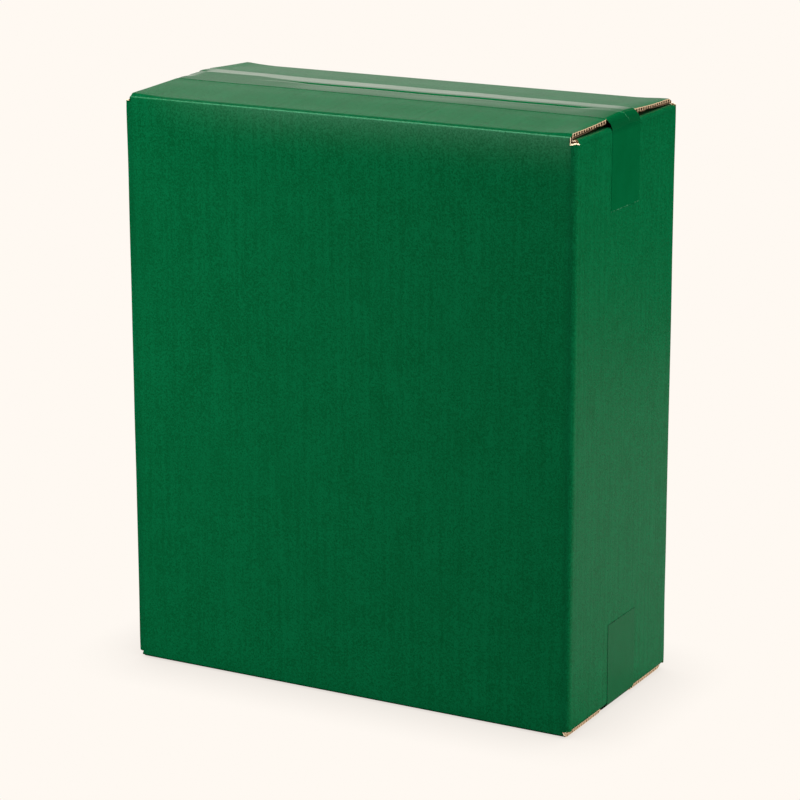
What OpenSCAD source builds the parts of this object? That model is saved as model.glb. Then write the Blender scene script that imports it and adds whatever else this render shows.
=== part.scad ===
/* [Carton] */
// Width of the carton, across its wide front
carton_w = 380; // [240:5:520]
// Depth of the carton, from front to back
carton_d = 177; // [120:1:230]
// Height of the top flaps' creases above the outer face of the bottom flaps
crease_h = 450; // [260:5:650]
// Thickness of the corrugated board
board_t = 3.8; // [3:0.1:4.6]
// Thickness of each liner, the flat papers outside the flutes
liner_t = 0.5; // [0.3:0.05:0.6]

/* [Folds] */
// Outer radius of the four upright corner folds
corner_r = 4.8; // [4.7:0.1:8]
// Outer radius of the rolled folds of the narrow walls' flaps
roll_r = 4; // [3:0.1:6]
// Radius of the bead that the crease leaves along the wide walls' folds
bead_r = 1.2; // [0.8:0.1:1.4]
// Height by which the bead stands above the crease line
bead_up = 0.4; // [0.1:0.1:0.8]
// Distance from the wide wall's face to where its flap lies flat
fold_run = 5; // [4.8:0.1:7]
// Radius of the shoulder where the flap leaves the fold
shoulder_r = 3; // [1.5:0.1:3.2]
// Height of the folded flap's outer face above its crease, at the fold
flap_rise = 2.4; // [2:0.1:3.2]
// Angle by which the taped top flaps stand up towards their seam
tent_angle = 2.7; // [0:0.1:4]

/* [Flaps] */
// Gap between the two wide flaps at the seam
seam_gap = 1.6; // [0.6:0.1:5]
// Clearance between a wide flap and the narrow flap under it, at the fold
layer_gap = 0.4; // [0.2:0.1:1.5]
// Straight land between the corner fold and the side of the slot
slot_land = 0.4; // [0.2:0.1:2]
// Depth of the corner slots below the crease line
slot_drop = 3; // [2:0.1:5]

/* [Glued joint] */
// Width of the glue tab that joins the two ends of the sheet
tab_w = 34; // [20:1:50]
// Angle of the glue tab's tapered ends
tab_taper = 15; // [5:1:30]
// Gap between the raw edge of the back wall and the left wall's face
joint_gap = 0.8; // [0.3:0.1:2]

/* [Cut edges] */
// Pitch of the pockets that the toothed knife leaves along a flap's end
pocket_pitch = 4.15; // [3.6:0.05:8]
// Length of one pocket along the edge
pocket_l = 2; // [1:0.1:2.8]
// Height of one pocket between the liners
pocket_h = 1.2; // [0.6:0.1:1.4]
// Depth of one pocket into the board
pocket_deep = 3; // [1:0.1:6]
// Height of the groove that runs between the flutes and the inner liner
groove_h = 0.6; // [0.3:0.1:0.8]
// Depth of that groove into the board
groove_deep = 1.2; // [0.5:0.1:3]
// Diameter of the flute mouths in the top of each corner fold
mouth_d = 1.6; // [0.8:0.1:1.9]
// Depth of the flute mouths
mouth_deep = 8; // [3:1:30]

/* [Tape] */
// Width of the packing tape
tape_w = 48; // [36:1:75]
// Thickness of the packing tape with its glue
tape_t = 0.2; // [0.1:0.05:0.5]
// Distance past the crease at which the tape meets the narrow wall
tape_meet = 2.7; // [1:0.1:3]
// Radius of the tape's bends, under which the board's edge is crushed
tape_turn_r = 4; // [1:0.1:4]
// Length of the top tape's ends below the crease
top_tail = 64; // [30:1:110]
// Length of the bottom tape's ends above the bottom crease
bottom_tail = 67; // [30:1:110]
// Sideways place of the top tape at the left wall, off the middle
top_off_left = 3; // [-10:0.5:10]
// Sideways place of the top tape at the right wall, off the middle
top_off_right = -5; // [-10:0.5:10]
// Sideways place of the bottom tape, off the middle
bottom_off = 2; // [-10:0.5:10]
// Pitch of the teeth that cut the tape's ends
tooth_pitch = 1.6; // [1:0.1:4]
// Depth of those teeth
tooth_deep = 0.8; // [0.3:0.1:2]

/* [Hidden] */
$fn = 48;
carton_color = "#0A6439";
tape_color = "#02582E";
// Steps of each arc in a folded profile
arc_steps = 8;
// Direction in which the crease's bead ends, and in which the shoulder begins
bead_end_a = 70;
shoulder_start_a = 130;
// Directions of the two flute mouths around a corner fold
mouth_angles = [20, 70];
// Overlap that lets a cutter pass a face
past = 1;

half_w = carton_w / 2;
half_d = carton_d / 2;
slot_half = corner_r + slot_land;
flap_reach = half_d - seam_gap / 2;
// Bottom creases stand above the flaps that they carry
crease_low = flap_rise;
// Outer face of the narrow flaps, from the crease line
inner_layer = flap_rise - board_t - layer_gap;
slot_top = crease_h - slot_drop;
slot_low = crease_low + slot_drop;
post_h = slot_top - slot_low;
corner_inner_r = corner_r - board_t;
tab_turn_r = slot_half - board_t;
tab_top = crease_h + inner_layer - board_t - layer_gap;
tab_low = crease_low - inner_layer + board_t + layer_gap;
// Ends of the wide flaps, and how far each tape drops from there to the narrow wall
end_x = half_w - slot_half;
top_drop = wide_end(tent_angle)[1] + tape_meet;
bottom_drop = flap_rise + tape_meet;

function arc_points(cx, cy, r, from, to) = [
    for (i = [0:arc_steps])
        let (a = from + (to - from) * i / arc_steps)
            [cx + r * cos(a), cy + r * sin(a)]
];

// A wide flap's fold and outer face, as [depth from the wall's face, height above the crease]
function wide_outer(tent) = concat(
    arc_points(bead_r, bead_up - bead_r, bead_r, 180, bead_end_a),
    arc_points(fold_run + shoulder_r * sin(tent), flap_rise - shoulder_r * cos(tent),
        shoulder_r, shoulder_start_a, 90 + tent),
    [wide_end(tent)]
);
function wide_length(tent) = (flap_reach - fold_run) / cos(tent);
function wide_end(tent) = [fold_run, flap_rise] + wide_length(tent) * [cos(tent), sin(tent)];
// The same flap's inner face, from the seam back to the wall
function wide_inner(tent) = [
    wide_end(tent) + board_t * [sin(tent), -cos(tent)],
    [board_t, flap_rise - board_t / cos(tent) + (board_t - fold_run) * tan(tent)]
];

// A narrow flap's rolled fold and outer face, then its inner face
narrow_outer = concat(
    arc_points(roll_r, inner_layer - roll_r, roll_r, 180, 90),
    [[flap_reach, inner_layer]]
);
narrow_inner = [
    [flap_reach, inner_layer - board_t],
    [board_t, inner_layer - board_t]
];

function reversed(list) = [for (i = [len(list) - 1:-1:0]) list[i]];
function at_top(list) = [for (p = list) [p[0], crease_h + p[1]]];
function at_bottom(list) = [for (p = list) [p[0], crease_low - p[1]]];

// One panel with both its flaps: bottom flap, wall and top flap as one folded strip
module folded_strip(outer_low, inner_low, outer_top, inner_top, length) {
    rotate([90, 0, 90])
        linear_extrude(height = length, center = true)
            polygon(concat(
                reversed(at_bottom(outer_low)), at_top(outer_top),
                at_top(inner_top), reversed(at_bottom(inner_low))
            ));
}

// Wide panel standing at the front, its face on the plane y = 0
module wide_panel() {
    folded_strip(wide_outer(0), wide_inner(0), wide_outer(tent_angle), wide_inner(tent_angle),
        carton_w - 2 * slot_half);
}

// Narrow panel in the same place, before it is turned to its side
module narrow_panel() {
    folded_strip(narrow_outer, narrow_inner, narrow_outer, narrow_inner,
        carton_d - 2 * slot_half);
}

// Plan of an upright corner fold, its outer corner at the origin
module corner_plan() {
    intersection() {
        square(slot_half);
        difference() {
            union() {
                translate([corner_r, corner_r]) circle(r = corner_r);
                translate([corner_r, 0]) square(slot_half);
                translate([0, corner_r]) square(slot_half);
            }
            translate([corner_r, corner_r]) circle(r = corner_inner_r);
            translate([board_t, corner_r]) square(slot_half);
            translate([corner_r, board_t]) square(slot_half);
        }
    }
}

// Flute mouths in both cut ends of a corner fold
module flute_mouths() {
    mid_r = corner_r - board_t / 2;
    for (a = mouth_angles)
        translate([corner_r - mid_r * cos(a), corner_r - mid_r * sin(a)])
            for (z = [slot_low - past, slot_top - mouth_deep])
                translate([0, 0, z])
                    cylinder(d = mouth_d, h = mouth_deep + past);
}

// Upright corner fold between two walls, open at its slots
module corner_fold() {
    difference() {
        translate([0, 0, slot_low])
            linear_extrude(height = post_h) corner_plan();
        flute_mouths();
    }
}

// Plan of the left wall's turn into the glue tab, behind the back wall's raw edge
module tab_turn_plan() {
    intersection() {
        translate([tab_turn_r, slot_half]) circle(r = tab_turn_r);
        square([tab_turn_r, slot_half]);
    }
    translate([tab_turn_r, board_t]) square([slot_half - tab_turn_r, board_t]);
}

// Glue tab with its tapered ends, lying on the back wall's inner face
module glue_tab() {
    taper = (tab_w - slot_half) * tan(tab_taper);
    translate([0, 2 * board_t, 0])
        rotate([90, 0, 0])
            linear_extrude(height = board_t)
                polygon([
                    [slot_half, tab_low], [tab_w, tab_low + taper],
                    [tab_w, tab_top - taper], [slot_half, tab_top]
                ]);
}

// Glued corner, standing in the same place as a corner fold
module glued_corner() {
    translate([joint_gap, 0, slot_low])
        cube([slot_half - joint_gap, board_t, post_h]);
    translate([0, 0, tab_low])
        linear_extrude(height = tab_top - tab_low) tab_turn_plan();
    glue_tab();
}

// Pockets and groove along one flap's end face, the flap's outer face on z = 0
module cut_edge(length) {
    count = floor((length - pocket_l) / pocket_pitch);
    for (i = [0:count])
        translate([-pocket_deep, i * pocket_pitch, -liner_t - pocket_h])
            cube([pocket_deep + past, pocket_l, pocket_h]);
    translate([-groove_deep, 0, -board_t + liner_t])
        cube([groove_deep + past, length - board_t, groove_h]);
}

// Cutters for both ends of the front's top and bottom flaps
module wide_flap_cuts() {
    for (side = [0, 1]) mirror([side, 0, 0]) {
        translate([end_x, fold_run, crease_h + flap_rise])
            rotate([tent_angle, 0, 0]) cut_edge(wide_length(tent_angle));
        translate([end_x, fold_run, crease_low - flap_rise])
            mirror([0, 0, 1]) cut_edge(wide_length(0));
    }
}

module front_panel() {
    translate([0, -half_d, 0])
        difference() {
            wide_panel();
            wide_flap_cuts();
        }
}

// Shallow seat that the load presses into the bottom flaps over their tape
module bottom_tape_seat() {
    translate([-half_w, bottom_off - tape_w / 2, -past])
        cube([carton_w, tape_w, past + tape_t]);
}

// The whole carton: one slotted and creased sheet, folded and glued into a tube
module carton() {
    color(carton_color)
        difference() {
            union() {
                front_panel();
                mirror([0, 1, 0]) front_panel();
                for (side = [0, 1]) mirror([side, 0, 0])
                    translate([half_w, 0, 0]) rotate([0, 0, 90]) narrow_panel();
                translate([-half_w, -half_d, 0]) corner_fold();
                translate([half_w, -half_d, 0]) mirror([1, 0, 0]) corner_fold();
                translate([half_w, half_d, 0]) rotate([0, 0, 180]) corner_fold();
                translate([-half_w, half_d, 0]) mirror([0, 1, 0]) glued_corner();
            }
            bottom_tape_seat();
            at_top_tape() crushed_corners(top_drop);
            at_bottom_tape() crushed_corners(bottom_drop);
        }
}

// Steepness of the tape between a flap's end and the narrow wall
function slope_a(drop) = atan(drop / slot_half);
// The tape's bend over the flap's end, at a distance out from its glued face
function end_turn(drop, out) =
    let (r = tape_turn_r, a = slope_a(drop))
        arc_points(end_x - r * tan(a / 2), -r, r + out, 90, 90 - a);
// Its bend onto the narrow wall
function wall_turn(drop, out) =
    let (r = tape_turn_r, a = slope_a(drop))
        arc_points(half_w - r, -drop - r * tan(45 - a / 2), r + out, 90 - a, 0);

// Half of the tape's path as [x, height above the flap's face]
function tape_path(drop, out) = concat(
    [[0, out]], end_turn(drop, out), wall_turn(drop, out), [[half_w + out, -crease_h / 2]]
);
function flipped(list) = [for (p = list) [-p[0], p[1]]];

// Tape's section along its length, drawn past its width on both sides
module tape_section(drop) {
    inside = tape_path(drop, 0);
    outside = tape_path(drop, tape_t);
    rotate([90, 0, 0])
        linear_extrude(height = 2 * carton_d, center = true)
            polygon(concat(reversed(flipped(outside)), outside, reversed(inside), flipped(inside)));
}

// The corners of the flaps' ends that lie outside the tape's bends
module crushed_corners(drop) {
    bend = end_turn(drop, 0);
    reach = bend[arc_steps][0];
    rotate([90, 0, 0])
        linear_extrude(height = 2 * carton_d, center = true)
            for (side = [0, 1]) mirror([side, 0])
                polygon(concat(bend, [[reach, past], [bend[0][0], past]]));
}

// Plan of the half of the tape that lies on the front flap
module tape_half_plan(off_left, off_right) {
    reach = half_w + 2 * tape_t;
    polygon([
        [-reach, off_left - tape_w / 2], [reach, off_right - tape_w / 2],
        [reach, 0], [-reach, 0]
    ]);
}

// Everything below a toothed cut across the tape's two ends
module tape_end_cut(tail) {
    teeth = ceil(carton_d / tooth_pitch);
    rotate([90, 0, 90])
        linear_extrude(height = 2 * carton_w, center = true)
            polygon(concat(
                [[teeth / 2 * tooth_pitch, -crease_h], [-teeth / 2 * tooth_pitch, -crease_h]],
                [for (i = [0:2 * teeth])
                    [(i - teeth) * tooth_pitch / 2, -tail + (i % 2) * tooth_deep]]
            ));
}

// What is drawn over the front flap's face, kept to half of a tape's width, the crease line on z = 0
module on_front_flap(off_left, off_right, tent) {
    intersection() {
        translate([0, fold_run - half_d, flap_rise])
            rotate([tent, 0, 0])
                translate([0, half_d, 0]) children();
        translate([0, 0, -crease_h])
            linear_extrude(height = 2 * crease_h) tape_half_plan(off_left, off_right);
    }
}

// The same on both wide flaps
module on_both_flaps(off_left, off_right, tent) {
    on_front_flap(off_left, off_right, tent) children();
    mirror([0, 1, 0]) on_front_flap(-off_left, -off_right, tent) children();
}

// Places of the top tape and, upside down, of the bottom one
module at_top_tape() {
    translate([0, 0, crease_h])
        on_both_flaps(top_off_left, top_off_right, tent_angle) children();
}
module at_bottom_tape() {
    translate([0, 0, tape_t + crease_low])
        mirror([0, 0, 1]) on_both_flaps(bottom_off, bottom_off, 0) children();
}

module top_tape() {
    color(tape_color)
        difference() {
            at_top_tape() tape_section(top_drop);
            translate([0, 0, crease_h]) tape_end_cut(top_tail);
        }
}

module bottom_tape() {
    color(tape_color)
        difference() {
            at_bottom_tape() tape_section(bottom_drop);
            translate([0, 0, tape_t + crease_low])
                mirror([0, 0, 1]) tape_end_cut(bottom_tail);
        }
}

carton();
top_tape();
bottom_tape();
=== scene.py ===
"""Looks of the taped carton: printed board with cut kraft edges, green tape, floor, lights and camera."""

import math

import bmesh
import bpy
from mathutils import Matrix, Vector, noise


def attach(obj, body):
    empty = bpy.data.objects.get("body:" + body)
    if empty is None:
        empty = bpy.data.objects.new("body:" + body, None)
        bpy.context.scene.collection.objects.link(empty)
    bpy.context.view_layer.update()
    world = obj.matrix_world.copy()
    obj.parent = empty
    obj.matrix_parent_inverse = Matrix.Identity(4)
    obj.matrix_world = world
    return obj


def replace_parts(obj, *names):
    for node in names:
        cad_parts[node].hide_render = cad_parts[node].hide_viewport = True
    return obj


MM = 0.001

# Sizes repeated from the part's source, in millimetres
HALF_W = 190
HALF_D = 88.5
CREASE_H = 450
CREASE_LOW = 2.4
BOARD_T = 3.8
CORNER_R = 4.8
SLOT_HALF = 5.2
FOLD_RUN = 5
FLAP_RISE = 2.4
BEAD_LOW = -0.8
TENT = math.tan(math.radians(2.7))
ROLL_R = 4
SLOT_DROP = 3
POCKET_PITCH = 4.15
POCKET_DEEP = 3
INNER_LAYER = -1.8
FLUTE_PITCH = 8.3
# Where the wide flaps end, and how far a face's middle may lie from the exact plane that it belongs to
END_X = HALF_W - SLOT_HALF
SLACK = 0.1

# The tapes, in millimetres
TAPE_W = 48
TAPE_SKEW = (3, -5)
BOTTOM_TAPE_MIDDLE = 2
TAPE_MEET = 2.7
TOP_TAPE_END = 386
BOTTOM_TAPE_END = 69.6
TAPE_EDGE = -22
TOOTH_DEEP = 0.8

# How the board has settled, in millimetres: the walls turn in a little towards their edges
EDGE_TURN = 0.25
EDGE_TURN_RUN = 30
CREASE_TURN = 0.5
CREASE_TURN_RUN = 16
RIPPLE = 0.2
WAVE = 0.2
# The flaps' right ends are pulled down, under the tape by the last value
END_PULL = 1.0
END_PULL_RUN = 12
TAPE_PULL = 0.8
# Towards the left the ridge runs from the seam back onto the lifted back flap, and the tape sags at the end
RIDGE_FROM = -87
RIDGE_TO = -128
RIDGE_BACK = 9
RIDGE_LOWER = 0.5
# The exact tape lies flat across the seam, this far to both sides of it
TAPE_FLAT = 5
LEFT_END_RUN = 10
END_SAG = 0.7
END_LIFT = 0.4
# The wide flaps lie lower along their creases than at their free ends
CREASE_DIP = 1.0
CREASE_DIP_RUN = 45
# The front flap lies lower than the back one along the seam
SEAM_STEP = 0.6
SEAM_LEFT = -105
SEAM_RIGHT = 168
# The right front corner fold is bent down at its slot, and the back one stands up
POST_SAG = 2.8
POST_LIFT = 1.4
# The load has crushed the bottom flaps' ends, which stand out, and closed their pockets to this share
END_OUT = 1.0
END_OUT_RUN = 20
POCKET_SHARE = 0.03
# The top tape stands off the flaps' ends by this, from this far before them, but no higher over the crease
BULGE = 1.0
BULGE_START = 0.5
TAPE_TOP = 6.3
# A pleat in the tape at its right end
PLEAT = 0.35
PLEAT_WIDE = 0.9
PLEAT_AT = -2
PLEAT_SLANT = 0.53

# Camera, fitted to the photograph's corners and edges, in metres
CAMERA_AT = Vector((1.08186, -1.97584, 0.82902))
CAMERA_AIM = Vector((0.00015, 0.0, 0.21481))
CAMERA_ROLL = math.radians(-0.108)
CAMERA_LENS = 135.83

# Linear colours
BACKDROP = (1.0, 0.947, 0.888)
TABLE = (0.16, 0.155, 0.15)
GROUND = (0.008, 0.008, 0.008)
# The side on which mirrors see the bright backdrop, and the cosines at which it begins and is full
BRIGHT_SIDE = (-0.743, 0.669, 0)
BRIGHT_FROM = 0.78
BRIGHT_FULL = 0.93
# The floor's radius, how far it lies below the carton, and the middle and radius of its pale part, in metres
FLOOR_R = 30
FLOOR_LOW = 0.3 * MM
TABLE_AT = (0.45, 0.45, 0)
TABLE_R = 0.62
# Brightness of what mirrors see on the bright side, by the sine of its height
MIRRORED = ((0, 0.9), (0.1, 0.8), (0.2, 0.42), (0.26, 0.34), (0.4, 0.38), (0.6, 0.03), (1, 0.03))
# Brightness of the light from all sides, how dark the carton's shadow is at its foot, and how far it reaches
ROOM_LIGHT = 0.28
SHADOW = 0.72
SHADOW_REACH = 0.06
PRINT_DARK = (0.0002, 0.092, 0.025)
PRINT_LIGHT = (0.0008, 0.139, 0.044)
# Lighter ink along the top crease's bead: partly worn ink, partly a painted highlight where the bead catches
# the light
PRINT_WORN_AND_HIGHLIGHT = (0.10, 0.34, 0.19)
# Painted reflection: the haze of sheen on the wide walls just below the top crease
PRINT_PAINTED_HAZE = (0.06, 0.21, 0.11)
# Painted shade in the groove above the bead, under the flaps' ends, in the narrow walls' top folds and at
# the vertical corners
PRINT_PAINTED_SHADE = (0.0004, 0.03, 0.01)
# How far below the top crease the wide walls carry a painted reflection, the haze of sheen near the crease,
# and how far left of the middle, in millimetres
HAZE_RUN = 40
HAZE_FROM = 170
KRAFT_DARK = (0.23, 0.115, 0.055)
KRAFT_LIGHT = (0.52, 0.31, 0.17)
KRAFT_LINER = (0.80, 0.58, 0.37)
# A paler liner colour, painted light on cut ends that lie in the flaps' shade
KRAFT_RIM_PAINTED_LIGHT = (0.95, 0.78, 0.55)
# Painted shade in the board's pockets, flute mouths and hollows, and on the lower band of the top flaps' cut
# edges
KRAFT_PAINTED_SHADE = (0.035, 0.018, 0.01)
FILM_DARK = (0.0002, 0.092, 0.025)
FILM_LIGHT = (0.0006, 0.112, 0.034)
# Painted shade on the top tape where it bends down over the flaps' ends
FILM_BEND_SHADE = (0.0002, 0.07, 0.02)
FILM_TORN = (0.06, 0.26, 0.13)
FILM_EDGE = (0.0002, 0.030, 0.010)

# Each lamp's name, its place, the point it lights and its width in metres, and its power in watts
LAMPS = (
    ("top_softbox", (0, 0, 2.2), (0, 0, 0), 1.6, 51),
    ("left_softbox", (-0.75, -1.05, 0.5), (0, 0, 0.2), 0.6, 13.8),
    ("back_softbox", (-1.4, 1.9, 0.4), (0, 0, 0.25), 1.0, 26),
    ("right_softbox", (2.0, 0.1, 0.3), (0, 0, 0.25), 1.0, 42),
)

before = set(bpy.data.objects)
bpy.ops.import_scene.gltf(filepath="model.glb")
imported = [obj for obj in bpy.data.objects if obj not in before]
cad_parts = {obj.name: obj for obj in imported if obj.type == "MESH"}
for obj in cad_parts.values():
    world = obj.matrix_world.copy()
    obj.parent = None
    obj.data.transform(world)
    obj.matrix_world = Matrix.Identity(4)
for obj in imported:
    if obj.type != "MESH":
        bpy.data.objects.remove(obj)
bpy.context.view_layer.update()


# Mesh tools


def editable_copy(node):
    """A CAD node's mesh with its split vertices joined and its triangles merged into whole faces."""
    shape = bmesh.new()
    shape.from_mesh(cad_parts[node].data)
    for layer in list(shape.loops.layers.uv.values()):
        shape.loops.layers.uv.remove(layer)
    bmesh.ops.remove_doubles(shape, verts=shape.verts, dist=0.002 * MM)
    bmesh.ops.dissolve_limit(
        shape, angle_limit=math.radians(0.05), verts=shape.verts, edges=shape.edges
    )
    return shape


def cut_across(shape, axis, places):
    """Cuts every face where it passes the given places, in millimetres along an axis."""
    normal = Vector((0, 0, 0))
    normal[axis] = 1
    for place in places:
        bmesh.ops.bisect_plane(
            shape,
            geom=shape.verts[:] + shape.edges[:] + shape.faces[:],
            dist=0.001 * MM,
            plane_co=normal * place * MM,
            plane_no=normal,
        )


def steps(low, high, step):
    """Even places from low to high, both ends included, about one step apart."""
    count = max(1, round((high - low) / step))
    return [low + (high - low) * i / count for i in range(count + 1)]


def mirrored(places):
    return sorted({-p for p in places} | set(places))


def new_piece(name, shape, materials, sharp):
    """A finished mesh as a piece that rides on the carton's only body."""
    mesh = bpy.data.meshes.new(name)
    shape.to_mesh(mesh)
    shape.free()
    if "custom_normal" in mesh.attributes:
        mesh.attributes.remove(mesh.attributes["custom_normal"])
    for material in materials:
        mesh.materials.append(material)
    mesh.shade_smooth()
    mesh.set_sharp_from_angle(angle=math.radians(sharp))
    piece = bpy.data.objects.new(name, mesh)
    bpy.context.collection.objects.link(piece)
    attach(piece, "root")
    return piece


# How the board has settled


def ease(value):
    """0 below 0, 1 above 1, and smooth between."""
    value = min(max(value, 0), 1)
    return value * value * (3 - 2 * value)


def fade(value, zero, one):
    """0 at the first place, 1 at the second, and smooth between."""
    return ease((value - zero) / (one - zero))


def near(value, edge, run):
    """0 further than run inside the edge, growing as a square to 1 at the edge."""
    return max(0, 1 - (edge - abs(value)) / run) ** 2


def wave(x, y, z, size):
    """Smooth noise from about -1 to 1 over bumps of the given size."""
    return noise.noise(Vector((x, y, z)) / size)


def hill(value, middle, reach):
    """1 at the middle, falling smoothly to 0 at the given reach on both sides."""
    return max(0, 1 - ((value - middle) / reach) ** 2) ** 2


def ridge_lift(x, y, depth):
    """Rise of the flaps where, towards the left, the ridge runs back from the seam."""
    left = min(max((RIDGE_FROM - x) / (RIDGE_FROM - RIDGE_TO), 0), 1)
    ridge = RIDGE_BACK * left
    over_flat = min(max(y + TAPE_FLAT * left, 0), TAPE_FLAT * left + min(ridge, TAPE_FLAT))
    past_flat = min(max(y - TAPE_FLAT, 0), max(ridge - TAPE_FLAT, 0))
    return (TENT * (over_flat + 2 * past_flat) - RIDGE_LOWER * left) * min(depth / 60, 1)


def left_end(x, y):
    """At the left end the back flap stands up, and the tape sags beside it."""
    lift = END_LIFT * fade(y, 12, 16)
    sag = END_SAG * fade(y, -14, -4) * fade(y, 15, 11)
    return fade(x, LEFT_END_RUN - END_X, -END_X) * (lift - sag)


def crease_dip(x, depth):
    """The wide flaps' dip along their creases."""
    dip = -CREASE_DIP * fade(abs(x), HALF_W - 6, HALF_W - 32) * fade(depth, 1.6, 4.2)
    return dip * fade(depth, FOLD_RUN + CREASE_DIP_RUN, FOLD_RUN)


def seam_step(x, y):
    """The front flap's drop along the seam."""
    along = fade(x, SEAM_LEFT, SEAM_LEFT + 30) * fade(x, SEAM_RIGHT, SEAM_RIGHT - 22)
    return -SEAM_STEP * along * fade(y, -26, 0) * fade(y, 0.6, -0.6)


def flap_heave(x, y):
    """How far the taped top flaps lie above or below their exact place."""
    depth = HALF_D - abs(y)
    rolling = -WAVE * (1 + wave(x, y, 0, 45)) * fade(depth, 0, 30)
    return ridge_lift(x, y, depth) + left_end(x, y) + crease_dip(x, depth) + seam_step(x, y) + rolling


def tape_middle(x):
    """Where the top tape's middle lies, as it runs askew."""
    return TAPE_SKEW[0] + (TAPE_SKEW[1] - TAPE_SKEW[0]) * (x + HALF_W) / (2 * HALF_W)


def end_pull(x, y, film):
    """How far the tape pulls the flaps' right ends down."""
    middle = tape_middle(x)
    under_tape = 1 if film else fade(abs(y - middle), TAPE_W / 2 + 2, TAPE_W / 2)
    pull = END_PULL * fade(abs(y), HALF_D, HALF_D - 45)
    pull += (TAPE_PULL - pull) * under_tape
    return (x > 0) * pull * near(x, END_X, END_PULL_RUN)


def post_shift(x, y, z):
    """How far a corner fold's open end is bent from its exact height."""
    at_corner = min(abs(y) - HALF_D, x - HALF_W) > -SLOT_HALF - 0.01
    if not at_corner or not CREASE_LOW + SLOT_DROP - SLACK < z < CREASE_H - SLOT_DROP + SLACK:
        return 0
    top = fade(z, CREASE_H - 13, CREASE_H - 3)
    if y > 0:
        return POST_LIFT * top
    inward = min(HALF_D - abs(y), HALF_W - x) / BOARD_T
    return top * (0.4 - POST_SAG * (1 - inward))


def crushed_end(x, y, z):
    """How far a point of the bottom flaps' ends is pushed out along the carton's width."""
    if z > CREASE_LOW + 1.45 or abs(x) > END_X + 0.01:
        return 0
    clear_of_tape = fade(abs(y - BOTTOM_TAPE_MIDDLE), TAPE_W / 2 + 1, TAPE_W / 2 + 4)
    inward = END_X - abs(x)
    in_pocket = 0 < inward < POCKET_DEEP + SLACK / 2 and z > 0.4
    closing = (1 - POCKET_SHARE) * inward if in_pocket else 0
    return clear_of_tape * (END_OUT * near(x, END_X, END_OUT_RUN) + closing)


def settle(point, film=False):
    """Where a point of the exact carton or tape lies on the real one."""
    x, y, z = point / MM
    above = max(z - CREASE_H, CREASE_LOW - z)
    # The walls' turn fades out over the flaps towards the carton's middle
    on_front = fade(abs(y), 45, 80)
    on_side = fade(abs(x), 130, 175)
    to_crease = min(abs(z - CREASE_H), abs(z - CREASE_LOW)) if above < 0 else 0
    turn = max(0, 1 - to_crease / CREASE_TURN_RUN) ** 2
    dy = EDGE_TURN * near(x, HALF_W, EDGE_TURN_RUN) + CREASE_TURN * turn
    dx = EDGE_TURN * near(y, HALF_D, EDGE_TURN_RUN)
    sheet = fade(-above, 0, 60)
    dy += sheet * RIPPLE * (1 + wave(x, 0, z, 70))
    dx += sheet * RIPPLE * (1 + wave(0, y + 300, z, 60))
    dx -= 0 if film else crushed_end(x, y, z)
    dz = post_shift(x, y, z)
    past_end = abs(x) > END_X + SLACK
    under = CREASE_H - TAPE_MEET if past_end else CREASE_H + FLAP_RISE - ROLL_R
    if z > under and abs(y) < HALF_D - 1.3:
        rise = fade(z, under, under + 2 * TAPE_MEET) if past_end else 1
        dz += rise * (flap_heave(x, y) - end_pull(x, y, film) * (z > CREASE_H + 1.2))
    return Vector(
        (x - math.copysign(on_side, x) * dx, y - math.copysign(on_front, y) * dy, z + dz)
    ) * MM


def stand_off(point):
    """How far the top tape stands off the flaps' ends, with the pleat where it bends over the right ones."""
    x, y, z = point / MM
    over = abs(x) - END_X
    along = min(max((over + BULGE_START) / (SLOT_HALF + BULGE_START), 0), 1)
    bulge = BULGE * math.sin(math.pi * along)
    across = y - PLEAT_AT - PLEAT_SLANT * over
    pleat = (x > 0) * PLEAT * max(0, 1 - abs(across) / PLEAT_WIDE) * hill(over, -1, 7)
    out = 0.7 * (bulge + pleat * (over > 0))
    up = min(0.7 * bulge + pleat, CREASE_H + TAPE_TOP - z)
    return Vector((math.copysign(out, x), 0, up)) * MM


# Materials


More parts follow.
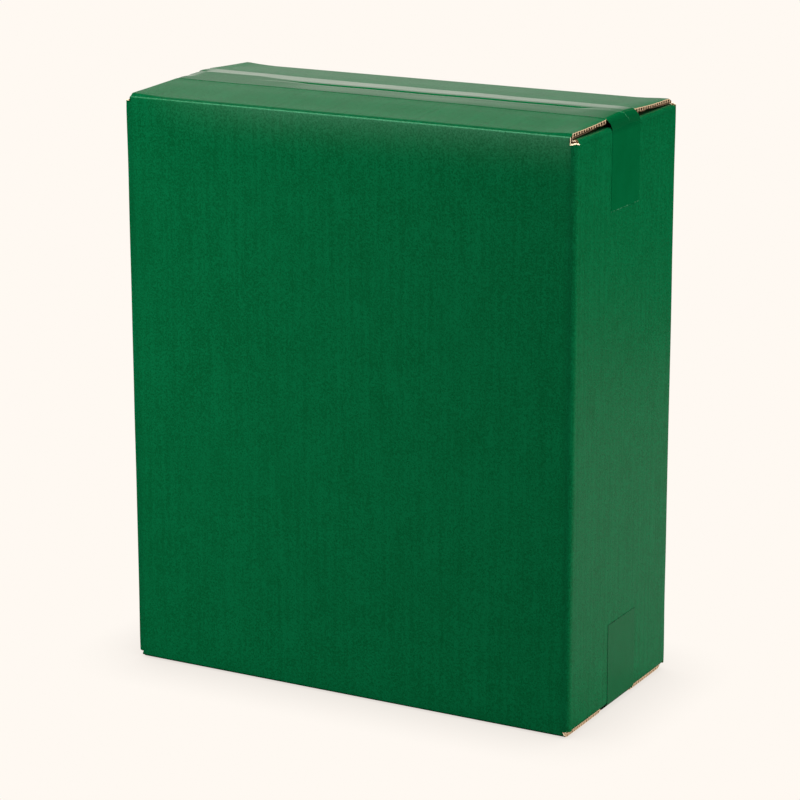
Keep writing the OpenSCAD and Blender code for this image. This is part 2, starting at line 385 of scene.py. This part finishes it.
class Nodes:
    """A short way to write a procedural material."""

    def __init__(self, name):
        self.material = bpy.data.materials.new(name)
        self.material.use_nodes = True
        self.tree = self.material.node_tree
        self.shader = self.tree.nodes["Principled BSDF"]

    def set(self, **values):
        for name, value in values.items():
            socket = self.shader.inputs[name.replace("_", " ")]
            socket.default_value = (*value, 1) if isinstance(value, tuple) else value

    def add(self, kind, inputs=(), **settings):
        node = self.tree.nodes.new(kind)
        for name, value in settings.items():
            setattr(node, name, value)
        for name, value in dict(inputs).items():
            if isinstance(value, bpy.types.NodeSocket):
                self.tree.links.new(value, node.inputs[name])
            else:
                node.inputs[name].default_value = value
        return node

    def total(self, first, *parts):
        """First, and each further part times its share."""
        for part, share in parts:
            first = self.math("ADD", first, self.math("MULTIPLY", part, share))
        return first

    def link(self, source, target):
        self.tree.links.new(source, self.shader.inputs[target])

    def place(self):
        """The point on the object, in metres."""
        return self.add("ShaderNodeTexCoord").outputs["Object"]

    def sheet(self):
        """The point along and across the flutes, in metres."""
        return self.add("ShaderNodeUVMap", uv_map="sheet").outputs["UV"]

    def sheet_axes(self):
        """The point's place along the sheet and its depth in the board, in metres, for the cut ends."""
        return self.add("ShaderNodeSeparateXYZ", {"Vector": self.sheet()}).outputs

    def axes(self):
        """The point's x, y and z on the object, in metres."""
        return self.add("ShaderNodeSeparateXYZ", {"Vector": self.place()}).outputs

    def noise(self, vector, size, detail=3, stretch=(1, 1, 1)):
        """Noise with features of the given size in millimetres."""
        scaled = self.add(
            "ShaderNodeMapping", {"Vector": vector, "Scale": [s / (size * MM) for s in stretch]}
        )
        return self.add(
            "ShaderNodeTexNoise",
            {"Vector": scaled.outputs[0], "Scale": 1, "Detail": detail, "Roughness": 0.6},
        ).outputs["Fac"]

    def math(self, operation, a, b=0.0, clamp=False):
        return self.add(
            "ShaderNodeMath", {0: a, 1: b}, operation=operation, use_clamp=clamp
        ).outputs[0]

    def blend(self, amount, low, high):
        """A colour between low and high by amount."""
        colors = {
            name: (*value, 1) if isinstance(value, tuple) else value
            for name, value in ((6, low), (7, high))
        }
        return self.add(
            "ShaderNodeMix", {0: amount, **colors}, data_type="RGBA", clamp_factor=True
        ).outputs[2]

    def ramp(self, value, low, high):
        """Value stretched so that low becomes 0 and high becomes 1."""
        return self.add(
            "ShaderNodeMapRange", {"Value": value, "From Min": low, "From Max": high}, clamp=True
        ).outputs[0]

    def contrast(self, value, gain):
        """Value stretched about its middle, 0.5."""
        return self.ramp(value, 0.5 - 0.5 / gain, 0.5 + 0.5 / gain)

    def between(self, value, low, high, soft):
        """1 where value lies between low and high, falling to 0 over soft, all in millimetres."""
        rise = self.ramp(value, (low - soft) * MM, low * MM)
        fall = self.ramp(value, (high + soft) * MM, high * MM)
        return self.math("MULTIPLY", rise, fall)

    def product(self, first, *others):
        for other in others:
            first = self.math("MULTIPLY", first, other)
        return first

    def bump(self, height, depth, strength=1.0):
        """Relief of the given depth in millimetres."""
        node = self.add(
            "ShaderNodeBump", {"Height": height, "Distance": depth * MM, "Strength": strength}
        )
        self.link(node.outputs[0], "Normal")


def flute_lines(nodes, pitch):
    """Soft bands that repeat once a flute."""
    return nodes.add(
        "ShaderNodeTexWave",
        {
            "Vector": nodes.sheet(),
            "Scale": math.pi / 10 / (pitch * MM),
            "Distortion": 0.6,
            "Detail": 1,
            "Detail Scale": 4,
        },
        wave_type="BANDS",
        bands_direction="X",
    ).outputs["Fac"]


def printed_paper():
    """Green print, with a painted reflection of haze below the top crease, lighter ink on the crease's bead
    that is partly wear and partly a painted highlight, and painted shade in the folds, under the flaps' ends
    and at the corners.
    """
    nodes = Nodes("printed_paper")
    x, y, z = nodes.axes()
    along = nodes.math("ABSOLUTE", x)
    across = nodes.math("ABSOLUTE", y)
    place = nodes.place()
    peel = nodes.noise(place, 1.6, 3)
    grain = nodes.noise(place, 0.8, 2)
    cloud = nodes.noise(place, 16, 4)
    streak = nodes.noise(nodes.sheet(), 3, 2, (1, 0.03, 1))
    flutes = flute_lines(nodes, FLUTE_PITCH)
    patchy = nodes.product(flutes, nodes.contrast(nodes.noise(place, 60, 2), 3))
    tone = nodes.math("MULTIPLY", nodes.contrast(peel, 2.4), 0.4)
    tone = nodes.total(tone, (grain, 0.9), (cloud, 0.3), (streak, 0.35), (patchy, 0.08))
    ink = nodes.blend(nodes.ramp(tone, 0.875, 1.115), PRINT_DARK, PRINT_LIGHT)

    on_wide = nodes.product(
        nodes.between(across, HALF_D - 1.6, HALF_D + 9, 0.5),
        nodes.between(along, -1, END_X, 1),
    )
    below = nodes.math("SUBTRACT", CREASE_H * MM, z)
    # Painted reflection: haze lightening the wide walls below the top crease, patchy, and fading out towards
    # the left
    painted_haze = nodes.math("POWER", nodes.ramp(below, HAZE_RUN * MM, 0), 3)
    haze_to_right = nodes.ramp(x, -HAZE_FROM * MM, -HAZE_FROM * MM / 3)
    painted_haze = nodes.product(painted_haze, on_wide, nodes.ramp(peel, 0.1, 0.9), haze_to_right)
    ink = nodes.blend(painted_haze, ink, PRINT_PAINTED_HAZE)
    # The bead's lighter ink is partly wear and partly a painted highlight
    bead = nodes.product(on_wide, nodes.between(z, CREASE_H - 0.1, CREASE_H + 0.3, 0.3))
    ink = nodes.blend(nodes.product(bead, nodes.ramp(streak, 0.2, 0.8), 0.6), ink, PRINT_WORN_AND_HIGHLIGHT)
    groove_shade = (
        nodes.between(across, HALF_D - FOLD_RUN - 0.5, HALF_D - 1.9, 0.5),
        nodes.between(z, CREASE_H - 1, CREASE_H + FLAP_RISE, 0.4),
    )
    under_end_shade = (
        nodes.between(z, CREASE_H - 3.4, CREASE_H - 1.6, 0.5),
        nodes.between(along, HALF_W - 6, HALF_W - 3.8, 0.5),
    )
    end_fold_shade = (
        nodes.between(z, CREASE_H - 4, CREASE_H + 1, 4),
        nodes.between(along, HALF_W - 4, HALF_W + 1, 1),
    )
    corner = (
        nodes.between(nodes.math("SUBTRACT", HALF_D * MM, across), -1, 0.7, 0.8),
        nodes.between(nodes.math("SUBTRACT", HALF_W * MM, along), -1, 5, 4),
    )
    # Painted shade: the print is darkened where the groove, the flaps' ends, the folds and the corners lie
    # in shade
    for share, where in ((0.25, groove_shade), (0.8, under_end_shade), (0.3, end_fold_shade), (0.2, corner)):
        ink = nodes.blend(nodes.product(*where, share), ink, PRINT_PAINTED_SHADE)
    nodes.link(ink, "Base Color")
    nodes.link(nodes.ramp(grain, -0.4, 2.3), "Roughness")
    nodes.bump(nodes.total(grain, (peel, 1.2), (patchy, 0.5), (streak, 2.2)), 0.06)
    return nodes.material


def kraft_paper(name, dark, light):
    """Plain brown paper."""
    nodes = Nodes(name)
    fibre = nodes.noise(nodes.place(), 0.8, 4)
    cloud = nodes.noise(nodes.place(), 12, 2)
    tone = nodes.ramp(nodes.math("ADD", fibre, cloud), 0.7, 1.3)
    nodes.link(nodes.blend(tone, dark, light), "Base Color")
    nodes.set(Roughness=0.85, IOR=1.25)
    nodes.bump(fibre, 0.15)
    return nodes.material


def cut_board():
    """A cut edge: pale liners on both sides of the darker web, with the knife's torn pockets at the top in
    painted shade, painted shade on the lower band of the top edges, and a liner painted paler as light by
    the fold.
    """
    nodes = Nodes("cut_board")
    fibre = nodes.noise(nodes.place(), 0.7, 4)
    ragged = nodes.noise(nodes.sheet(), 2.5, 2)
    flat = nodes.sheet_axes()
    depth = nodes.total(flat[1], (ragged, 0.4 * MM))
    at_top = nodes.ramp(nodes.axes()[2], 0.1, 0.2)
    web = nodes.between(depth, 0.9, 3.45, 0.15)
    liner = nodes.blend(fibre, KRAFT_LIGHT, KRAFT_LINER)
    core = nodes.blend(nodes.contrast(fibre, 2), KRAFT_DARK, KRAFT_LINER)
    start = nodes.math("SUBTRACT", (HALF_D - FOLD_RUN) * MM, nodes.math("ABSOLUTE", flat[0]))
    pocket = nodes.math("FRACT", nodes.math("DIVIDE", start, POCKET_PITCH * MM))
    # Painted shade: the torn pockets' flute mouths are painted dark
    torn = nodes.product(
        nodes.ramp(pocket, 0.66, 0.54),
        nodes.ramp(pocket, -0.1, 0.03),
        nodes.between(depth, 0.9, 2.6, 0.2),
        at_top,
    )
    core = nodes.blend(torn, core, KRAFT_PAINTED_SHADE)
    # Painted light: near the fold the liner is paler, for the cut end that lies in the flap's shade
    in_fold = nodes.ramp(start, 0.5 * MM, -0.5 * MM)
    edge = nodes.blend(web, nodes.blend(in_fold, liner, KRAFT_RIM_PAINTED_LIGHT), core)
    # Painted shade on the lower band of the top flaps' cut edges
    lower_band = nodes.product(at_top, nodes.ramp(depth, 2.5 * MM, 3.3 * MM), 0.85)
    nodes.link(nodes.blend(lower_band, edge, KRAFT_PAINTED_SHADE), "Base Color")
    nodes.set(Roughness=0.85, IOR=1.25)
    nodes.bump(fibre, 0.2)
    return nodes.material


def cut_fold():
    """The open end of a corner fold: pale liners, partly painted paler as light where the flaps shade them,
    with the hollow between them in painted shade.
    """
    nodes = Nodes("cut_fold")
    fibre = nodes.noise(nodes.place(), 0.7, 4)
    # Painted shade for the hollow between the liners
    hollow = nodes.between(nodes.sheet_axes()[1], 1.5, 3.0, 0.2)
    liner = nodes.blend(nodes.ramp(fibre, 0.2, 0.5), KRAFT_LINER, KRAFT_RIM_PAINTED_LIGHT)
    nodes.link(nodes.blend(hollow, liner, KRAFT_PAINTED_SHADE), "Base Color")
    nodes.set(Roughness=0.85, IOR=1.25)
    return nodes.material


def bend_marks(nodes, film):
    """The top tape's film: painted shade where it bends down over the flaps' ends, pale along the pleat."""
    x, y, z = nodes.axes()
    over = nodes.math("SUBTRACT", x, END_X * MM)
    across = nodes.math("SUBTRACT", y, nodes.math("MULTIPLY", over, PLEAT_SLANT))
    pleat = nodes.product(
        nodes.between(across, PLEAT_AT - 0.25, PLEAT_AT + 0.25, 0.3),
        nodes.between(over, -3, 3, 2),
    )
    # Painted shade where the tape bends over the flaps' ends
    bend_shade = nodes.product(
        nodes.between(nodes.math("ABSOLUTE", x), HALF_W - 3.5, HALF_W + 1, 2.5),
        nodes.between(z, CREASE_H - 2, CREASE_H + 7, 6),
    )
    return nodes.blend(pleat, nodes.blend(bend_shade, film, FILM_BEND_SHADE), FILM_TORN)


def edge_mark(nodes, film):
    """The bottom tape's film, with a dark line along its near edge."""
    edge = nodes.between(nodes.axes()[1], TAPE_EDGE - 1, TAPE_EDGE + 0.5, 0.2)
    return nodes.blend(nodes.product(edge, 0.8), film, FILM_EDGE)


def green_film(name, end, end_colour, marks):
    """Glossy green film, in another colour where its end at the given height is torn, with its own marks."""
    nodes = Nodes(name)
    place = nodes.place()
    streak = nodes.noise(nodes.sheet(), 2.2, 3, (0.02, 1, 1))
    cloud = nodes.noise(place, 14, 2)
    tone = nodes.total(nodes.math("MULTIPLY", streak, 0.5), (cloud, 0.5))
    film = nodes.blend(nodes.contrast(tone, 2), FILM_DARK, FILM_LIGHT)
    torn = nodes.product(
        nodes.between(nodes.axes()[2], end - TOOTH_DEEP, end + TOOTH_DEEP, 0.3),
        nodes.ramp(nodes.noise(place, 4, 2), 0.5, 0.6),
    )
    film = marks(nodes, nodes.blend(torn, film, end_colour))
    nodes.link(film, "Base Color")
    nodes.set(IOR=1.5)
    nodes.link(nodes.ramp(streak, -0.25, 5.5), "Roughness")
    nodes.bump(nodes.math("ADD", streak, cloud), 0.01)
    return nodes.material


# The board


def printed(centre, normal):
    """True for a face of the carton that lies on the printed side of the sheet."""
    x, y, z = abs(centre.x / MM), abs(centre.y / MM), centre.z / MM
    top = z > CREASE_H / 2
    rise = z - CREASE_H if top else CREASE_LOW - z
    outward = normal.z if top else -normal.z
    depth, side_depth = HALF_D - y, HALF_W - x
    # The flat walls
    if min(depth, side_depth) < SLACK / 2:
        return True
    # The rounded corners
    if max(depth, side_depth) < SLOT_HALF and abs(normal.z) < 0.5:
        reach = math.hypot(CORNER_R - depth, CORNER_R - side_depth)
        return reach > CORNER_R - 0.3 and min(depth, side_depth) < CORNER_R
    # Faces turned to a side or inward, of which the crease's bead is printed
    if abs(normal.x) > 0.99 or outward < 0.03:
        return rise > BEAD_LOW - SLACK and depth < 1.3 and abs(normal.x) < 0.5
    # The wide flaps and their rolled folds
    if rise > BEAD_LOW - SLACK:
        face = FLAP_RISE + (max(0, depth - FOLD_RUN) * TENT if top else 0)
        return depth < FOLD_RUN or rise > face - 0.3
    # The narrow flaps' rolled folds, and then the narrow flaps
    if side_depth < ROLL_R + SLACK and abs(normal.y) < 0.5:
        return rise > INNER_LAYER - ROLL_R - SLACK
    return abs(rise - INNER_LAYER) < SLACK and outward > 0.9


def map_sheet(shape, flat_of):
    """Gives each corner its place on the flat sheet, in metres, by the way of its face's material."""
    layer = shape.loops.layers.uv.new("sheet")
    for face in shape.faces:
        flat = flat_of[face.material_index]
        for corner in face.loops:
            corner[layer].uv = flat(face.normal, corner.vert.co)


def board_sheet(normal, point):
    """A face of the board: along and across the flutes on the walls."""
    if abs(normal.x) > max(abs(normal.y), abs(normal.z)):
        return point.y + HALF_D * MM, point.z
    if abs(normal.z) > abs(normal.y):
        return point.x, point.y
    return point.x, point.z


def end_sheet(normal, point):
    """A flap's end face: along the cut, and the depth under the flap's outer face."""
    depth = HALF_D - abs(point.y) / MM
    under = point.z / MM
    if under > CREASE_H / 2:
        under = CREASE_H + FLAP_RISE + max(0, depth - FOLD_RUN) * TENT - under
    return point.y, min(under, max(depth, 0) + (depth > FOLD_RUN) * 9) * MM


def fold_sheet(normal, point):
    """A corner fold's end: its length around the fold is small, so only the depth in counts."""
    depth, side_depth = HALF_D - abs(point.y) / MM, HALF_W - abs(point.x) / MM
    inward = CORNER_R - math.hypot(max(0, CORNER_R - depth), max(0, CORNER_R - side_depth))
    return point.x, min(depth, side_depth, inward) * MM


PRINT, KRAFT, CUT, FOLD_END, POCKET = range(5)


def paper_of(face):
    """Which of the board's papers a face shows."""
    centre = face.calc_center_median()
    to_end = END_X - abs(centre.x) / MM
    at_corner = HALF_D - abs(centre.y) / MM < SLOT_HALF and to_end < 0
    if abs(face.normal.z) > 0.9 and at_corner:
        return FOLD_END
    if printed(centre, face.normal):
        return PRINT
    in_pocket = 0 < to_end < POCKET_DEEP + SLACK / 2
    # Pocket faces at the bottom, where the load has crushed the flaps' ends
    lower_band = in_pocket and centre.z / MM < CREASE_LOW
    if abs(face.normal.x) > 0.9 and (abs(to_end) < SLACK or lower_band):
        return CUT
    if in_pocket and abs(face.normal.x) < 0.5 and abs(centre.y) / MM < HALF_D - FOLD_RUN:
        return POCKET
    return KRAFT


def add_carton():
    """The board, cut finely enough to bend, most finely by its edges and creases."""
    shape = editable_copy("carton")
    fine = [1, 3, 5, 8, 12, 16, 24, 32, 42]
    cut_across(shape, 0, mirrored([END_X - f for f in fine[:4]]))
    cut_across(shape, 0, mirrored([HALF_W - f for f in fine[4:]]))
    cut_across(shape, 0, steps(-140, 140, 10))
    cut_across(shape, 1, mirrored([HALF_D - f for f in fine[4:]]))
    cut_across(shape, 1, mirrored(steps(0, 44, 3)))
    cut_across(shape, 2, [CREASE_H - f for f in fine[1:]])
    cut_across(shape, 2, [CREASE_LOW + f for f in fine[1:]])
    cut_across(shape, 2, steps(55, 400, 12))
    shape.normal_update()
    for face in shape.faces:
        face.material_index = paper_of(face)
    flat_of = {paper: board_sheet for paper in (PRINT, KRAFT, POCKET)}
    map_sheet(shape, {**flat_of, CUT: end_sheet, FOLD_END: fold_sheet})
    for vert in shape.verts:
        vert.co = settle(vert.co)
    papers = [
        printed_paper(),
        kraft_paper("kraft_paper", KRAFT_DARK, KRAFT_LIGHT),
        cut_board(),
        cut_fold(),
        # The pockets' inner faces, painted dark as shade
        kraft_paper("kraft_pocket_shade", KRAFT_PAINTED_SHADE, KRAFT_DARK),
    ]
    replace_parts(new_piece("board", shape, papers, 28), "carton")


# The tape


def tape_sheet(normal, point):
    """A face of the tape: along its run, and across it."""
    along = point.x if abs(normal.z) > 0.5 else point.z
    return along, point.y


def hidden_side(face):
    """True for the tape's glued face against a narrow wall."""
    x = face.calc_center_median().x
    return abs(face.normal.x) > 0.9 and face.normal.x * x < 0


def add_tape(node, up, film):
    """A tape's outer faces. Up is 1 for the top tape and -1 for the bottom one."""
    shape = editable_copy(node)
    inner = [f for f in shape.faces if f.normal.z * up < -0.3 or hidden_side(f)]
    bmesh.ops.delete(shape, geom=inner, context="FACES")
    cut_across(shape, 0, steps(-176, 176, 4))
    cut_across(shape, 0, mirrored(steps(177, 189, 1)))
    cut_across(shape, 1, steps(-28, -10, 1.5))
    cut_across(shape, 1, [-1.2, -0.5, 0, 0.6, 1.2])
    cut_across(shape, 1, steps(4, 28, 1.5))
    if up > 0:
        cut_across(shape, 1, steps(-10, 11, 0.5))
        cut_across(shape, 2, steps(436, 454, 1))
    cut_across(shape, 2, steps(390, 435, 5) if up > 0 else steps(6, 66, 4))
    shape.normal_update()
    map_sheet(shape, {0: tape_sheet})
    for vert in shape.verts:
        loose = stand_off(vert.co) if up > 0 else Vector()
        vert.co = settle(vert.co, film=True) + loose
    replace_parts(new_piece(node + "_film", shape, [film], 45), node)


# Camera, floor and lights


def add_camera():
    data = bpy.data.cameras.new("camera")
    data.lens = CAMERA_LENS
    camera = bpy.data.objects.new("camera", data)
    aim = (CAMERA_AIM - CAMERA_AT).to_track_quat("-Z", "Y").to_matrix().to_4x4()
    camera.matrix_world = (
        Matrix.Translation(CAMERA_AT) @ aim @ Matrix.Rotation(CAMERA_ROLL, 4, "Z")
    )
    bpy.context.collection.objects.link(camera)
    bpy.context.scene.camera = camera


def add_softbox(name, place, aim, size, watts):
    data = bpy.data.lights.new(name, "AREA")
    data.shape = "SQUARE"
    data.size = size
    data.energy = watts
    data.cycles.use_multiple_importance_sampling = False
    lamp = bpy.data.objects.new(name, data)
    lamp.location = place
    lamp.rotation_euler = (Vector(aim) - Vector(place)).to_track_quat("-Z", "Y").to_euler()
    lamp.visible_glossy = False
    bpy.context.collection.objects.link(lamp)


def seen_directly(tree, *kinds):
    """1 for a ray of any of the given kinds."""
    path = tree.nodes.new("ShaderNodeLightPath")
    seen = path.outputs[f"Is {kinds[0]} Ray"]
    for kind in kinds[1:]:
        either = tree.nodes.new("ShaderNodeMath")
        either.operation = "MAXIMUM"
        tree.links.new(seen, either.inputs[0])
        tree.links.new(path.outputs[f"Is {kind} Ray"], either.inputs[1])
        seen = either.outputs[0]
    return seen


def show_instead(tree, seen, plain, shown, output):
    """Rays that see the backdrop get one shader, and all others the plain one."""
    mix = tree.nodes.new("ShaderNodeMixShader")
    tree.links.new(seen, mix.inputs[0])
    tree.links.new(plain.outputs[0], mix.inputs[1])
    tree.links.new(shown.outputs[0], mix.inputs[2])
    tree.links.new(mix.outputs[0], output.inputs["Surface"])


def light_by_height(tree, way):
    """Brightness of what mirrors see, by its height."""
    split = tree.nodes.new("ShaderNodeSeparateXYZ")
    tree.links.new(way, split.inputs[0])
    height = tree.nodes.new("ShaderNodeFloatCurve")
    tree.links.new(split.outputs[2], height.inputs["Value"])
    curve = height.mapping.curves[0]
    curve.points[0].location = (0, MIRRORED[0][1])
    curve.points[1].location = (1, MIRRORED[-1][1])
    for point in MIRRORED[1:-1]:
        curve.points.new(*point)
    for point in curve.points:
        point.handle_type = "VECTOR"
    height.mapping.update()
    return height.outputs[0]


def light_by_side(tree, way):
    """1 towards the bright backdrop, and nearly 0 on all other sides."""
    behind = tree.nodes.new("ShaderNodeVectorMath")
    behind.operation = "DOT_PRODUCT"
    tree.links.new(way, behind.inputs[0])
    behind.inputs[1].default_value = BRIGHT_SIDE
    bright = tree.nodes.new("ShaderNodeMapRange")
    tree.links.new(behind.outputs["Value"], bright.inputs["Value"])
    reach = {"From Min": BRIGHT_FROM, "From Max": BRIGHT_FULL, "To Min": 0.02, "To Max": 1.0}
    for name, value in reach.items():
        bright.inputs[name].default_value = value
    return bright.outputs[0]


def add_world():
    """Plain light from all sides. Mirrors see the backdrop low down, and the dimmer room above it."""
    world = bpy.data.worlds.new("studio")
    bpy.context.scene.world = world
    world.use_nodes = True
    world.cycles.sampling_method = "NONE"
    tree = world.node_tree
    room = tree.nodes["Background"]
    room.inputs["Color"].default_value = (1, 1, 1, 1)
    room.inputs["Strength"].default_value = ROOM_LIGHT
    way = tree.nodes.new("ShaderNodeTexCoord").outputs["Generated"]
    strength = tree.nodes.new("ShaderNodeMath")
    strength.operation = "MULTIPLY"
    tree.links.new(light_by_height(tree, way), strength.inputs[0])
    tree.links.new(light_by_side(tree, way), strength.inputs[1])
    mirrored_room = tree.nodes.new("ShaderNodeBackground")
    mirrored_room.inputs["Color"].default_value = (*BACKDROP, 1)
    tree.links.new(strength.outputs[0], mirrored_room.inputs["Strength"])
    seen = tree.nodes.new("ShaderNodeMixShader")
    tree.links.new(seen_directly(tree, "Glossy"), seen.inputs[0])
    tree.links.new(room.outputs[0], seen.inputs[1])
    tree.links.new(mirrored_room.outputs[0], seen.inputs[2])
    shown = tree.nodes.new("ShaderNodeBackground")
    shown.inputs["Color"].default_value = (*BACKDROP, 1)
    directly = seen_directly(tree, "Camera", "Transmission")
    show_instead(tree, directly, seen, shown, tree.nodes["World Output"])


def add_floor():
    """A floor that the camera sees in the backdrop's colour, darker where the carton shades it."""
    shape = bmesh.new()
    bmesh.ops.create_circle(shape, cap_ends=True, segments=96, radius=FLOOR_R)
    mesh = bpy.data.meshes.new("floor")
    shape.to_mesh(mesh)
    shape.free()
    nodes = Nodes("floor")
    reach = nodes.add(
        "ShaderNodeVectorMath", {0: nodes.place(), 1: TABLE_AT}, operation="DISTANCE"
    ).outputs["Value"]
    on_table = nodes.ramp(reach, TABLE_R, TABLE_R - 0.1)
    nodes.link(nodes.blend(on_table, GROUND, TABLE), "Base Color")
    nodes.set(Roughness=0.9, IOR=1.3)
    shade = nodes.add("ShaderNodeAmbientOcclusion", {"Distance": SHADOW_REACH}, samples=16)
    pale = nodes.blend(shade.outputs["AO"], tuple(SHADOW * c for c in BACKDROP), BACKDROP)
    shown = nodes.add("ShaderNodeEmission", {"Color": pale})
    seen = seen_directly(nodes.tree, "Camera", "Transmission")
    show_instead(nodes.tree, seen, nodes.shader, shown, nodes.tree.nodes["Material Output"])
    mesh.materials.append(nodes.material)
    floor = bpy.data.objects.new("floor", mesh)
    floor.location.z = -FLOOR_LOW
    bpy.context.collection.objects.link(floor)


add_camera()
add_world()
add_floor()
for lamp in LAMPS:
    add_softbox(*lamp)
bpy.context.scene.view_settings.view_transform = "Standard"

add_carton()
add_tape("top_tape", 1, green_film("top_film", TOP_TAPE_END, FILM_TORN, bend_marks))
add_tape("bottom_tape", -1, green_film("bottom_film", BOTTOM_TAPE_END, FILM_EDGE, edge_mark))
